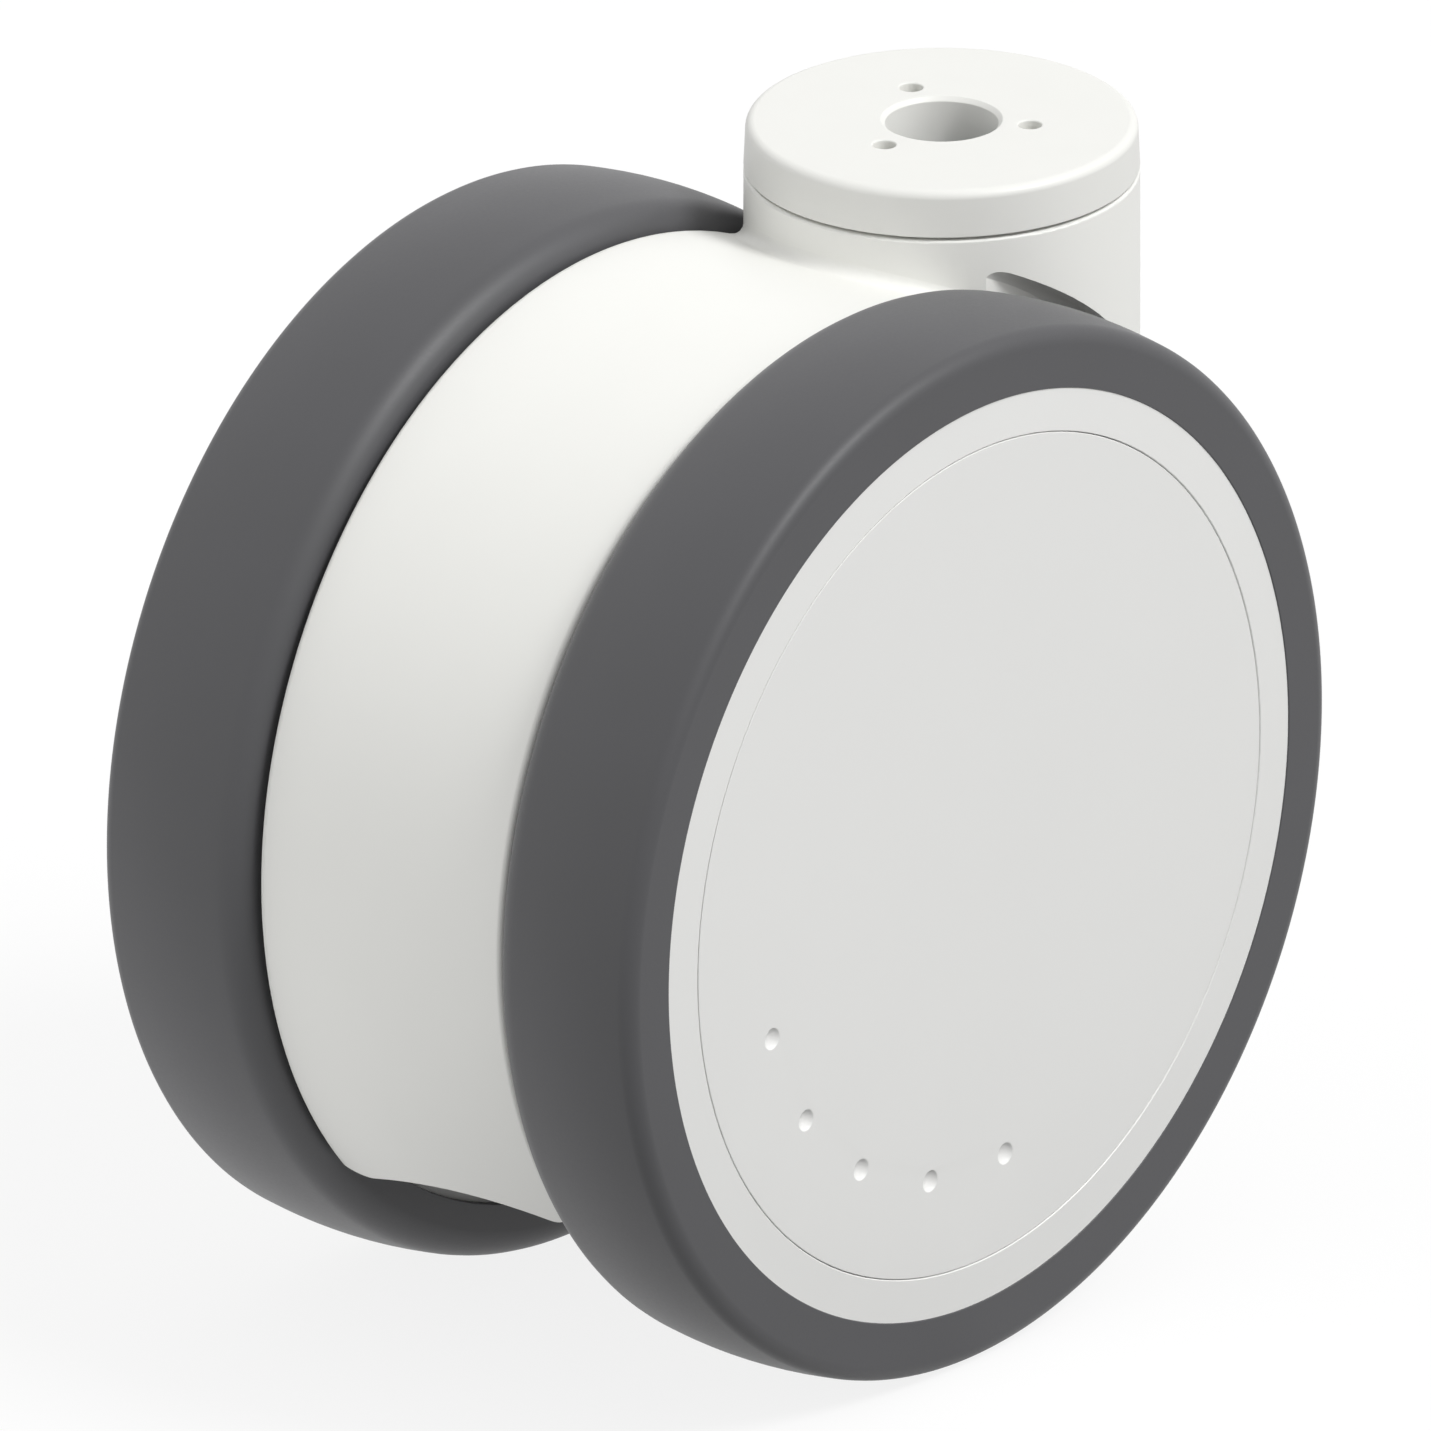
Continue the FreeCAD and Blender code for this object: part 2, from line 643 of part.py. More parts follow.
def caster():
    """Every piece of the caster, by the name of its node."""
    nodes = {
        "head_disc": head_disc(),
        "kingpin": kingpin(),
        "bearing_spacer": bearing_spacer(),
        "kingpin_circlip": circlip(SWIVEL, pin_radius, lower_bearing_bottom - CIRCLIP_THICKNESS),
        "fork_housing": fork_housing(),
        "axle": axle(),
    }
    for level, bottom in (("upper", upper_bearing_bottom), ("lower", lower_bearing_bottom)):
        bearing = ball_bearing(
            SWIVEL, pin_radius, SWIVEL_SECTION, bottom, SWIVEL_WIDTH, SWIVEL_BALL_DIAMETER, SWIVEL_BALLS
        )
        for piece, shape in bearing.items():
            nodes[f"{level}_bearing_{piece}"] = shape
    wheel_bearing = ball_bearing(
        AXLE,
        axle_radius,
        WHEEL_BEARING_SECTION,
        wheel_bearing_inner,
        WHEEL_BEARING_WIDTH,
        WHEEL_BALL_DIAMETER,
        WHEEL_BALLS,
    )
    wheel = {f"wheel_bearing_{piece}": shape for piece, shape in wheel_bearing.items()}
    wheel["tyre"] = tyre()
    wheel["wheel_centre"] = wheel_centre()
    wheel["wheel_cover"] = wheel_cover()
    wheel["axle_spacer"] = axle_spacer()
    wheel["axle_circlip"] = circlip(AXLE, axle_radius, wheel_bearing_outer)
    for piece, shape in wheel.items():
        nodes[f"left_{piece}"] = shape
        nodes[f"right_{piece}"] = shape.mirror(Vector(0, 0, 0), ACROSS)
    return nodes


os.makedirs("parts", exist_ok=True)
for name, piece in caster().items():
    piece.exportStep(os.path.join("parts", f"{name}.step"))
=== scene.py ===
"""Looks of the twin wheel caster: its finishes, its outer pieces and a plain studio.

Sizes are millimetres unless said otherwise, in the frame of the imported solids: the origin is the centre of
the bolt hole on the head's top face, +Z is up, and the axle lies along Y behind the swivel axis.
"""
import logging
import math
from dataclasses import dataclass, replace
from enum import Enum
from typing import Any, Sequence

import bmesh
import bpy
from mathutils import Matrix, Vector


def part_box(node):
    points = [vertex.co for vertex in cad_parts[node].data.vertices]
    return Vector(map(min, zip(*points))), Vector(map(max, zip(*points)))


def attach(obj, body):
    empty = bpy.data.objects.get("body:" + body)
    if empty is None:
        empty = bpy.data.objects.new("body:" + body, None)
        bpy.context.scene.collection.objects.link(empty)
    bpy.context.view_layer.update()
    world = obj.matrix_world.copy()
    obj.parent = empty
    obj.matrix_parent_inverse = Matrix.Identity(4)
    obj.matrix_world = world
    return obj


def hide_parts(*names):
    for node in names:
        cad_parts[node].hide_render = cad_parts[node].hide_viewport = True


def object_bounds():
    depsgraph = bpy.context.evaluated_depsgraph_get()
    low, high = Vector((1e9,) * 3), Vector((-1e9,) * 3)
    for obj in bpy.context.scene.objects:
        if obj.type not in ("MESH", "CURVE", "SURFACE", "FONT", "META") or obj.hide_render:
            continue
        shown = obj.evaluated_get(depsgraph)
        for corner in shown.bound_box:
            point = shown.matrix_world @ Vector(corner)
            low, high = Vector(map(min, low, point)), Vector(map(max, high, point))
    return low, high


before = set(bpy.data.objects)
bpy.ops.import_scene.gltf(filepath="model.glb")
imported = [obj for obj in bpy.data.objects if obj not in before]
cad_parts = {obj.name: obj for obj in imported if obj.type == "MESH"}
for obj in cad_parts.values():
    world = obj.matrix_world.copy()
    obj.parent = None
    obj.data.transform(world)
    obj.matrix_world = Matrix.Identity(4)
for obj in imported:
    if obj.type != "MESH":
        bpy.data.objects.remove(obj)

CAD_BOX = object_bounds()
LOG = logging.getLogger("caster")

# Metres in a millimetre
MM = 0.001

# A Mix node's sockets by number, because their names repeat
MIX_FLOATS = (2, 3)
MIX_COLOURS = (6, 7)

# Layers of ever finer noise in each pattern
FLOW_LAYERS = 3.0
PIT_LAYERS = 2.0
MARK_LAYERS = 4.0

# Share of a pattern's scale that is left along tool marks, so that they run as lines
MARK_STRETCH = 0.02

# Straight steps that stand for one rounded corner
ARC_STEPS = 8

# Decimals of a metre to which two points have to agree to count as one
PLACE_DECIMALS = 7

# Setting of the weighted normals at which large faces count most
LARGE_FACES_FIRST = 100

Colour = tuple[float, float, float, float]
Corner = tuple[float, ...]
Profile = list[tuple[float, float]]
Ring = list[bmesh.types.BMVert]
Socket = bpy.types.NodeSocket
Tree = bpy.types.NodeTree


def linear(hex_colour: str) -> Colour:
    """Turn an sRGB hex colour into a linear one.

    Args:
        hex_colour: A hash sign and six hex digits.

    Returns:
        Red, green and blue in linear light, and an alpha of one.
    """
    shares = [int(hex_colour[start : start + 2], 16) / 255 for start in (1, 3, 5)]
    # The sRGB curve: a straight foot and a power above it
    lit = [
        share / 12.92 if share <= 0.04045 else ((share + 0.055) / 1.055) ** 2.4
        for share in shares
    ]
    return (*lit, 1.0)


def emptied(owner: bpy.types.Material | bpy.types.World) -> Tree:
    """Turn on the nodes of a material or world, and clear them.

    Args:
        owner: What the nodes belong to.

    Returns:
        Its node tree, with nothing in it.
    """
    owner.use_nodes = True
    owner.node_tree.nodes.clear()
    return owner.node_tree


def add_node(
    tree: Tree, kind: str, inputs: dict[str | int, Any] | None = None, **settings: Any
) -> bpy.types.Node:
    """Add one node with its settings and links.

    Args:
        tree: Node tree that takes the node.
        kind: Blender's type name for the node.
        inputs: What each input takes, by name or number: a socket is linked and anything else is set.
        **settings: Values for the node's own attributes.

    Returns:
        The new node.
    """
    node = tree.nodes.new(kind)
    for name, value in settings.items():
        setattr(node, name, value)
    for name, value in (inputs or {}).items():
        if isinstance(value, Socket):
            tree.links.new(value, node.inputs[name])
        else:
            node.inputs[name].default_value = value
    return node


def per_metre(size: float) -> float:
    """Scale of a pattern whose features are the given number of millimetres across."""
    return 1 / (size * MM)


class Lay(Enum):
    """Which way the tool marks run on a metal piece: the axis that they run round, or none."""

    ABOUT_SWIVEL = (MARK_STRETCH, MARK_STRETCH, 1.0)
    ABOUT_AXLE = (MARK_STRETCH, 1.0, MARK_STRETCH)
    NONE = (1.0, 1.0, 1.0)


@dataclass(frozen=True)
class Surface:
    """What all finishes share: a colour and a roughness that drift, and a fine relief.

    Attributes:
        name: Material and how its surface was made.
        colour: sRGB hex of the main colour.
        drift_colour: sRGB hex that it drifts to.
        roughness: Middle of the roughness.
        roughness_drift: How far the roughness goes either way.
        relief: Height of the fine texture.
    """

    name: str
    colour: str
    drift_colour: str
    roughness: float
    roughness_drift: float
    relief: float

    def patterns(self, tree: Tree, place: Socket) -> tuple[Socket, Socket]:
        """Lay out the patterns that the finish follows.

        Args:
            tree: Node tree to add to.
            place: Place on the piece.

        Returns:
            The pattern of the colour, and that of the roughness and relief.
        """
        raise NotImplementedError

    def constants(self) -> dict[str, float]:
        """Values of the shader that are the same all over the piece."""
        raise NotImplementedError

    def material(self) -> bpy.types.Material:
        """Build the finish as a node material.

        Returns:
            The new material.
        """
        made = bpy.data.materials.new(self.name)
        tree = emptied(made)
        place = add_node(tree, "ShaderNodeTexCoord").outputs["Object"]
        drift, texture = self.patterns(tree, place)
        first, second = MIX_COLOURS
        tint = add_node(
            tree,
            "ShaderNodeMix",
            {0: drift, first: linear(self.colour), second: linear(self.drift_colour)},
            data_type="RGBA",
        )
        gloss = add_node(
            tree,
            "ShaderNodeMapRange",
            {
                "Value": texture,
                "To Min": self.roughness - self.roughness_drift,
                "To Max": self.roughness + self.roughness_drift,
            },
        )
        bumps = add_node(
            tree, "ShaderNodeBump", {"Height": texture, "Distance": self.relief * MM, "Strength": 1.0}
        )
        shader = add_node(
            tree,
            "ShaderNodeBsdfPrincipled",
            {
                "Base Color": tint.outputs["Result"],
                "Roughness": gloss.outputs["Result"],
                "Normal": bumps.outputs["Normal"],
                **self.constants(),
            },
        )
        add_node(tree, "ShaderNodeOutputMaterial", {"Surface": shader.outputs["BSDF"]})
        return made


@dataclass(frozen=True)
class Moulding(Surface):
    """Plastic or rubber as it leaves a mould: a faint flow mottle and the mould's own fine texture.

    Attributes:
        ior: Index of refraction.
        mottle: Width of a patch of the flow mottle.
        grain: Width of a pit of the mould texture.
        bloom: Share of fine dust on the skin, which shows where it is seen edge on.
    """

    ior: float
    mottle: float
    grain: float
    bloom: float = 0.0

    def patterns(self, tree: Tree, place: Socket) -> tuple[Socket, Socket]:
        """Lay out the mottle and the pits.

        Args:
            tree: Node tree to add to.
            place: Place on the piece.

        Returns:
            The mottle for the colour, and the pits for the roughness and relief.
        """
        sizes = ((self.mottle, FLOW_LAYERS), (self.grain, PIT_LAYERS))
        flow, pits = (
            add_node(
                tree, "ShaderNodeTexNoise", {"Vector": place, "Scale": per_metre(size), "Detail": layers}
            ).outputs["Fac"]
            for size, layers in sizes
        )
        return flow, pits

    def constants(self) -> dict[str, float]:
        """Refraction and dust, the same all over the piece."""
        return {"IOR": self.ior, "Sheen Weight": self.bloom}


@dataclass(frozen=True)
class Metal(Surface):
    """Steel with the marks of its last process.

    Attributes:
        marks: Spacing of the tool marks.
        lay: Which way the marks run.
    """

    marks: float
    lay: Lay

    def patterns(self, tree: Tree, place: Socket) -> tuple[Socket, Socket]:
        """Lay out the tool marks.

        Args:
            tree: Node tree to add to.
            place: Place on the piece.

        Returns:
            The marks, for the colour and for the roughness and relief.
        """
        along = add_node(tree, "ShaderNodeMapping", {"Vector": place, "Scale": self.lay.value})
        lines = add_node(
            tree,
            "ShaderNodeTexNoise",
            {"Vector": along.outputs["Vector"], "Scale": per_metre(self.marks), "Detail": MARK_LAYERS},
        ).outputs["Fac"]
        return lines, lines

    def constants(self) -> dict[str, float]:
        """Metal all over the piece."""
        return {"Metallic": 1.0}


class Finish(Enum):
    """Every finish on the caster.

    The mould textures are drawn coarser than the real 0.05 to 0.1 mm, so that they show.
    """

    # Spark eroded tool: clean white that stays matt, with broad soft highlights
    HOUSING = Moulding(
        "polyamide_eroded_white", colour="#EFEFEB", drift_colour="#ECECE8",
        roughness=0.46, roughness_drift=0.04, relief=0.003, ior=1.53, mottle=14.0, grain=0.35,
    )
    # Same resin from a smoother tool: a shade greyer and a little softer to the eye
    HEAD = Moulding(
        "polyamide_moulded_white", colour="#E7E7E3", drift_colour="#E4E4E0",
        roughness=0.44, roughness_drift=0.04, relief=0.002, ior=1.53, mottle=9.0, grain=0.3,
    )
    # Rim left satin from the tool: very pale grey, close to the cover's
    RIM = Moulding(
        "polypropylene_moulded_pale_grey", colour="#EDEDEB", drift_colour="#EBEBE9",
        roughness=0.45, roughness_drift=0.04, relief=0.002, ior=1.49, mottle=11.0, grain=0.35,
    )
    # Cover from a fine satin tool: even, very pale grey with a soft sheen
    COVER = Moulding(
        "abs_moulded_pale_grey", colour="#ECECEA", drift_colour="#EAEAE8",
        roughness=0.42, roughness_drift=0.03, relief=0.002, ior=1.54, mottle=16.0, grain=0.3,
    )
    # Non-marking tyre: dark neutral grey, slightly chalky, brighter where it is seen edge on
    TYRE = Moulding(
        "thermoplastic_rubber_moulded_grey", colour="#4B4B4E", drift_colour="#48484A",
        roughness=0.50, roughness_drift=0.05, relief=0.004, ior=1.50, mottle=12.0, grain=0.4, bloom=0.12,
    )
    # Unfilled nylon keeps its own cream colour and lets a little gloss through
    CAGE = Moulding(
        "polyamide_natural_cream", colour="#E6DFC8", drift_colour="#DFD7BE",
        roughness=0.38, roughness_drift=0.04, relief=0.002, ior=1.53, mottle=5.0, grain=0.3,
    )
    # Bright zinc: bluish silver with fine turning marks under it
    PIN = Metal(
        "steel_zinc_plated_turned", colour="#D3D6DA", drift_colour="#C2C6CC",
        roughness=0.30, roughness_drift=0.06, relief=0.002, marks=0.35, lay=Lay.ABOUT_SWIVEL,
    )
    # The same zinc on the axle and its spacers, with the marks round the axle
    AXLE = replace(PIN, name="steel_zinc_plated_drawn", lay=Lay.ABOUT_AXLE)
    # Ground bearing steel: darker, with a tight even lay
    SWIVEL_RING = Metal(
        "bearing_steel_ground_flat", colour="#C6C6C4", drift_colour="#B4B4B2",
        roughness=0.22, roughness_drift=0.05, relief=0.001, marks=0.25, lay=Lay.ABOUT_SWIVEL,
    )
    # The same steel in the wheels, with the marks round the axle
    WHEEL_RING = replace(SWIVEL_RING, name="bearing_steel_ground_round", lay=Lay.ABOUT_AXLE)
    # Lapped balls: near mirror
    BALL = Metal(
        "bearing_steel_lapped", colour="#CFCFCE", drift_colour="#C8C8C7",
        roughness=0.08, roughness_drift=0.02, relief=0.0002, marks=0.5, lay=Lay.NONE,
    )
    # Oiled spring steel: near black with a dull shine
    CLIP = Metal(
        "spring_steel_blackened", colour="#3A3A3C", drift_colour="#2E2E30",
        roughness=0.40, roughness_drift=0.08, relief=0.002, marks=0.4, lay=Lay.NONE,
    )

    def material(self) -> bpy.types.Material:
        """The finish's material, made when it is first asked for."""
        return bpy.data.materials.get(self.value.name) or self.value.material()


class Side(Enum):
    """Which wheel: its name and the way along Y that it faces."""

    LEFT = ("left", 1)
    RIGHT = ("right", -1)


def middle_of(node: str) -> Vector:
    """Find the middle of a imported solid.

    Args:
        node: Name of the solid's node.

    Returns:
        The middle of its box, in metres.
    """
    low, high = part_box(node)
    return (low + high) / 2


def dress(node: str, finish: Finish) -> None:
    """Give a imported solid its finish.

    Args:
        node: Name of the solid's node.
        finish: Finish for all of its faces.
    """
    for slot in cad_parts[node].material_slots:
        slot.material = finish.material()
    LOG.info("dressed %s in %s", node, finish.value.name)


def stand_in(data: bpy.types.Mesh, node: str, body: str, finish: Finish) -> bpy.types.Object:
    """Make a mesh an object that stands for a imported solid.

    Args:
        data: Mesh of the piece.
        node: Node that the piece stands for.
        body: Body that the piece moves with.
        finish: Finish for all of its faces.

    Returns:
        The new object.
    """
    data.shade_smooth()
    data.materials.append(finish.material())
    made = bpy.data.objects.new(f"{node}_look", data)
    bpy.context.scene.collection.objects.link(made)
    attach(made, body)
    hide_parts(node)
    LOG.info("built %s: %d faces in %s", made.name, len(data.polygons), finish.value.name)
    return made


def rounded(corners: Sequence[Corner]) -> Profile:
    """Lay out an open profile with rounded corners.

    Args:
        corners: (radius, along) or (radius, along, rounding) of each corner; the two ends aren't rounded.

    Returns:
        Points as (radius, along), with an arc of points for each rounded corner.
    """
    points: Profile = []
    for number, (radius, along, *rounding) in enumerate(corners):
        if not rounding:
            points.append((radius, along))
            continue
        corner = Vector((radius, along, 0))
        back = (Vector((*corners[number - 1][:2], 0)) - corner).normalized()
        ahead = (Vector((*corners[number + 1][:2], 0)) - corner).normalized()
        half = back.angle(ahead) / 2
        centre = corner + (back + ahead).normalized() * (rounding[0] / math.sin(half))
        reach = rounding[0] / math.tan(half)
        start = (corner + back * reach - centre).normalized()
        end = (corner + ahead * reach - centre).normalized()
        for step in range(ARC_STEPS + 1):
            point = centre + start.slerp(end, step / ARC_STEPS) * rounding[0]
            points.append((point.x, point.y))
    return points


@dataclass(frozen=True)
class Lathe:
    """A turning axis that lays points out by radius, distance along and angle.

    Attributes:
        base: Point that distances along the axis start from.
        axis: Unit vector along the axis.
        spoke: Unit vector at an angle of nothing.
        quarter: Unit vector at a quarter turn.
    """

    base: Vector
    axis: Vector
    spoke: Vector
    quarter: Vector

    def place(self, radius: float, along: float, turn: float) -> Vector:
        """Find a point.

        Args:
            radius: Distance from the axis.
            along: Distance along the axis.
            turn: Angle from the spoke, in radians.

        Returns:
            The point, in millimetres.
        """
        arm = self.spoke * math.cos(turn) + self.quarter * math.sin(turn)
        return self.base + arm * radius + self.axis * along

    def beside(self, radius: float, turn: float) -> "Lathe":
        """Parallel axis that stands on a circle round this one."""
        return replace(self, base=self.place(radius, 0.0, turn))


class Turning:
    """Mesh that is built up from rings of points round parallel axes."""

    def __init__(self) -> None:
        """Start with an empty mesh."""
        self.mesh = bmesh.new()

    def ring(self, lathe: Lathe, radius: float, along: float, count: int) -> Ring:
        """Lay one ring of points.

        Args:
            lathe: Axis that the ring goes round.
            radius: Radius of the ring; a ring of no radius is one point.
            along: Distance along the axis.
            count: Points in the ring.

        Returns:
            The points in order.
        """
        turns = [math.tau * number / count for number in range(count if radius else 1)]
        return [self.mesh.verts.new(lathe.place(radius, along, turn) * MM) for turn in turns]

    def band(self, first: Ring, second: Ring) -> None:
        """Join two rings by a band of faces.

        Args:
            first: One ring, or one point.
            second: The other ring, or one point.
        """
        for number in range(max(len(first), len(second))):
            following = number + 1
            corners = [
                first[number % len(first)],
                first[following % len(first)],
                second[following % len(second)],
                second[number % len(second)],
            ]
            self.mesh.faces.new(list(dict.fromkeys(corners)))

    def skin(self, lathe: Lathe, profile: Profile, count: int, closed: bool = False) -> list[Ring]:
        """Turn a profile about an axis.

        Args:
            lathe: Axis to turn about.
            profile: Points as (radius, along).
            count: Points round each ring.
            closed: Whether the last ring is joined to the first.

        Returns:
            The rings in the order of the profile.
        """
        rings = [self.ring(lathe, radius, along, count) for radius, along in profile]
        for first, second in zip(rings, rings[1:] + (rings[:1] if closed else [])):
            self.band(first, second)
        return rings

    def plate(self, *rings: Ring) -> None:
        """Fill a flat face.

        Args:
            *rings: The ring round it and the rings of the openings in it.
        """
        edges = []
        for ring in rings:
            edges.extend(self.mesh.edges.get((ring[number - 1], point)) for number, point in enumerate(ring))
        bmesh.ops.triangle_fill(self.mesh, use_beauty=True, edges=edges)

    def piece(self, node: str, body: str, finish: Finish) -> None:
        """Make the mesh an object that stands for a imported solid.

        Args:
            node: Node that the piece stands for.
            body: Body that the piece moves with.
            finish: Finish for all of its faces.
        """
        bmesh.ops.recalc_face_normals(self.mesh, faces=self.mesh.faces)
        data = bpy.data.meshes.new(f"{node}_look")
        self.mesh.to_mesh(data)
        self.mesh.free()
        made = stand_in(data, node, body, finish)
        even = made.modifiers.new("flat_faces_stay_flat", "WEIGHTED_NORMAL")
        even.weight = LARGE_FACES_FIRST


@dataclass
class SwivelHead:
    """Head disc with its holes, and the steel pin that carries it.

    Attributes:
        height: Height of the disc.
        edge: Rounding of the disc's top edge.
        taper: How much narrower the disc is at its top.
        foot_edge: Rounding of the disc's bottom edges.
        bolt_radius: Radius of the bolt hole.
        bolt_chamfer: Chamfer round the bolt hole.
        holes: Number of locating holes.
        hole_radius: Radius of a locating hole.
        hole_circle: Radius of the circle that they stand on.
        hole_depth: Depth of a locating hole.
        first_hole: Angle of the first hole from +X, in degrees.
        lip: Rounding of a hole's mouth.
        spigot_radius: Radius of a spigot under the disc.
        spigot_circle: Radius of the circle that the spigots stand on.
        round_points: Points round the disc.
        small_points: Points round a locating hole or a spigot.
    """

    height: float = 5.6
    edge: float = 1.1
    taper: float = 0.25
    foot_edge: float = 0.15
    bolt_radius: float = 6.5
    bolt_chamfer: float = 0.5
    holes: int = 3
    hole_radius: float = 1.35
    hole_circle: float = 10.25
    hole_depth: float = 3.0
    first_hole: float = 60.0
    lip: float = 0.2
    spigot_radius: float = 1.1
    spigot_circle: float = 11.7
    round_points: int = 192
    small_points: int = 40

    def build(self) -> None:
        """Turn the head disc, with its holes and spigots."""
        low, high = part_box("head_disc")
        radius = high.x / MM
        spigot_end = low.z / MM
        foot = -self.height
        lathe = Lathe(Vector((0, 0, 0)), Vector((0, 0, 1)), Vector((1, 0, 0)), Vector((0, 1, 0)))
        turning = Turning()
        # Ends that only lead into a rounding are cut off the profiles
        outside = rounded(
            [
                (self.bolt_radius, 0.0),
                (radius - self.taper, 0.0, self.edge),
                (radius, foot, self.foot_edge),
                (self.bolt_radius, foot),
            ]
        )[1:-1]
        inside = rounded(
            [
                (radius, foot),
                (self.bolt_radius, foot, self.foot_edge),
                (self.bolt_radius, -self.bolt_chamfer, self.lip),
                (self.bolt_radius + self.bolt_chamfer, 0.0, self.lip),
                (radius, 0.0),
            ]
        )[1:-1]
        hole = rounded(
            [
                (2 * self.hole_radius, 0.0),
                (self.hole_radius, 0.0, self.lip),
                (self.hole_radius, -self.hole_depth, self.lip),
                (0.0, -self.hole_depth),
            ]
        )[1:]
        spigot = rounded(
            [
                (self.spigot_radius, foot),
                (self.spigot_radius, spigot_end, self.lip),
                (0.0, spigot_end),
            ]
        )
        outer = turning.skin(lathe, outside, self.round_points)
        inner = turning.skin(lathe, inside, self.round_points)
        mouths: list[Ring] = []
        roots: list[Ring] = []
        for number in range(self.holes):
            step = math.tau * number / self.holes
            hole_lathe = lathe.beside(self.hole_circle, math.radians(self.first_hole) + step)
            mouths.append(turning.skin(hole_lathe, hole, self.small_points)[0])
            spigot_lathe = lathe.beside(self.spigot_circle, step)
            roots.append(turning.skin(spigot_lathe, spigot, self.small_points)[0])
        turning.plate(outer[0], inner[-1], *mouths)
        turning.plate(outer[-1], inner[0], *roots)
        turning.piece("head_disc", "head", Finish.HEAD)

    def dress(self) -> None:
        """Give the pin and what is fixed to it their finishes."""
        dress("kingpin", Finish.PIN)
        dress("bearing_spacer", Finish.PIN)
        dress("kingpin_circlip", Finish.CLIP)


@dataclass
class Housing:
    """White housing with its two swivel bearings and the axle.

    Attributes:
        hood_radius: Radius of the drum between the wheels.
        hood_side: Distance from the middle plane to the drum's side.
        rim_rounding: Rounding of the drum's two rims.
        rim_touch: How far off that rounding a point may lie and still belong to it.
        rim_parts: Parts that the sides of the rounding's triangles are cut into.
    """

    hood_radius: float = 59.6
    hood_side: float = 18.12
    rim_rounding: float = 0.8
    rim_touch: float = 0.01
    rim_parts: int = 4

    def __post_init__(self) -> None:
        """Take the axle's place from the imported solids."""
        self.axle = middle_of("axle") / MM

    def build(self) -> None:
        """Copy the housing, with its rims' rounding divided finely so that they show as smooth lines."""
        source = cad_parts["fork_housing"].data
        facings = [corner.vector for corner in source.corner_normals]
        places: dict[tuple[float, ...], int] = {}
        faces: list[tuple[int, ...]] = []
        normals: list[Vector] = []
        for face in source.polygons:
            corners = [source.vertices[number].co / MM for number in face.vertices]
            if self.is_on_one_rim(corners):
                triangles = [[self.settle(point) for point in part] for part in self.divided(*corners)]
            else:
                triangles = [[(corner, facings[loop]) for corner, loop in zip(corners, face.loop_indices)]]
            for triangle in triangles:
                keys = [(point * MM).to_tuple(PLACE_DECIMALS) for point, _ in triangle]
                # A triangle whose corners fall together has no face
                if len(set(keys)) == len(keys):
                    faces.append(tuple(places.setdefault(key, len(places)) for key in keys))
                    normals.extend(normal for _, normal in triangle)
        data = bpy.data.meshes.new("fork_housing_look")
        data.from_pydata(list(places), [], faces)
        stand_in(data, "fork_housing", "fork", Finish.HOUSING)
        data.normals_split_custom_set(normals)

    def settle(self, point: Vector) -> tuple[Vector, Vector]:
        """Bring a point onto the rounding of the nearer rim.

        Args:
            point: Point beside the rim.

        Returns:
            The nearest place on the rounding, and the unit normal there.
        """
        arm = Vector((point.x - self.axle.x, 0, point.z - self.axle.z)).normalized()
        core = self.axle + arm * (self.hood_radius - self.rim_rounding)
        core.y = math.copysign(self.hood_side - self.rim_rounding, point.y)
        normal = (point - core).normalized()
        return core + normal * self.rim_rounding, normal

    def is_on_one_rim(self, points: Sequence[Vector]) -> bool:
        """Whether points of the housing all lie on the rounding of the same rim.

        Args:
            points: The points.

        Returns:
            True if they do.
        """
        least_reach = self.hood_radius - self.rim_rounding - self.rim_touch
        least_side = self.hood_side - self.rim_rounding - self.rim_touch
        return len({point.y > 0 for point in points}) == 1 and all(
            math.hypot(point.x - self.axle.x, point.z - self.axle.z) > least_reach
            and abs(point.y) > least_side
            and (self.settle(point)[0] - point).length < self.rim_touch
            for point in points
        )

    def divided(self, first: Vector, second: Vector, third: Vector) -> list[list[Vector]]:
        """Cut a triangle into small ones.

        Args:
            first: First corner.
            second: Second corner.
            third: Third corner.

        Returns:
            The corners of each small triangle.
        """
        parts = self.rim_parts
        along = (second - first) / parts
        across = (third - first) / parts
        small = []
        for row in range(parts):
            for place in range(parts - row):
                corner = first + along * place + across * row
                small.append([corner, corner + along, corner + across])
                if row + place < parts - 1:
                    small.append([corner + along, corner + along + across, corner + across])
        return small

    def dress(self) -> None:
        """Give the bearings and the axle their finishes."""
        dress("axle", Finish.AXLE)
        for level in ("upper", "lower"):
            dress(f"{level}_bearing_inner_ring", Finish.SWIVEL_RING)
            dress(f"{level}_bearing_outer_ring", Finish.SWIVEL_RING)
            dress(f"{level}_bearing_balls", Finish.BALL)
            dress(f"{level}_bearing_cage", Finish.CAGE)


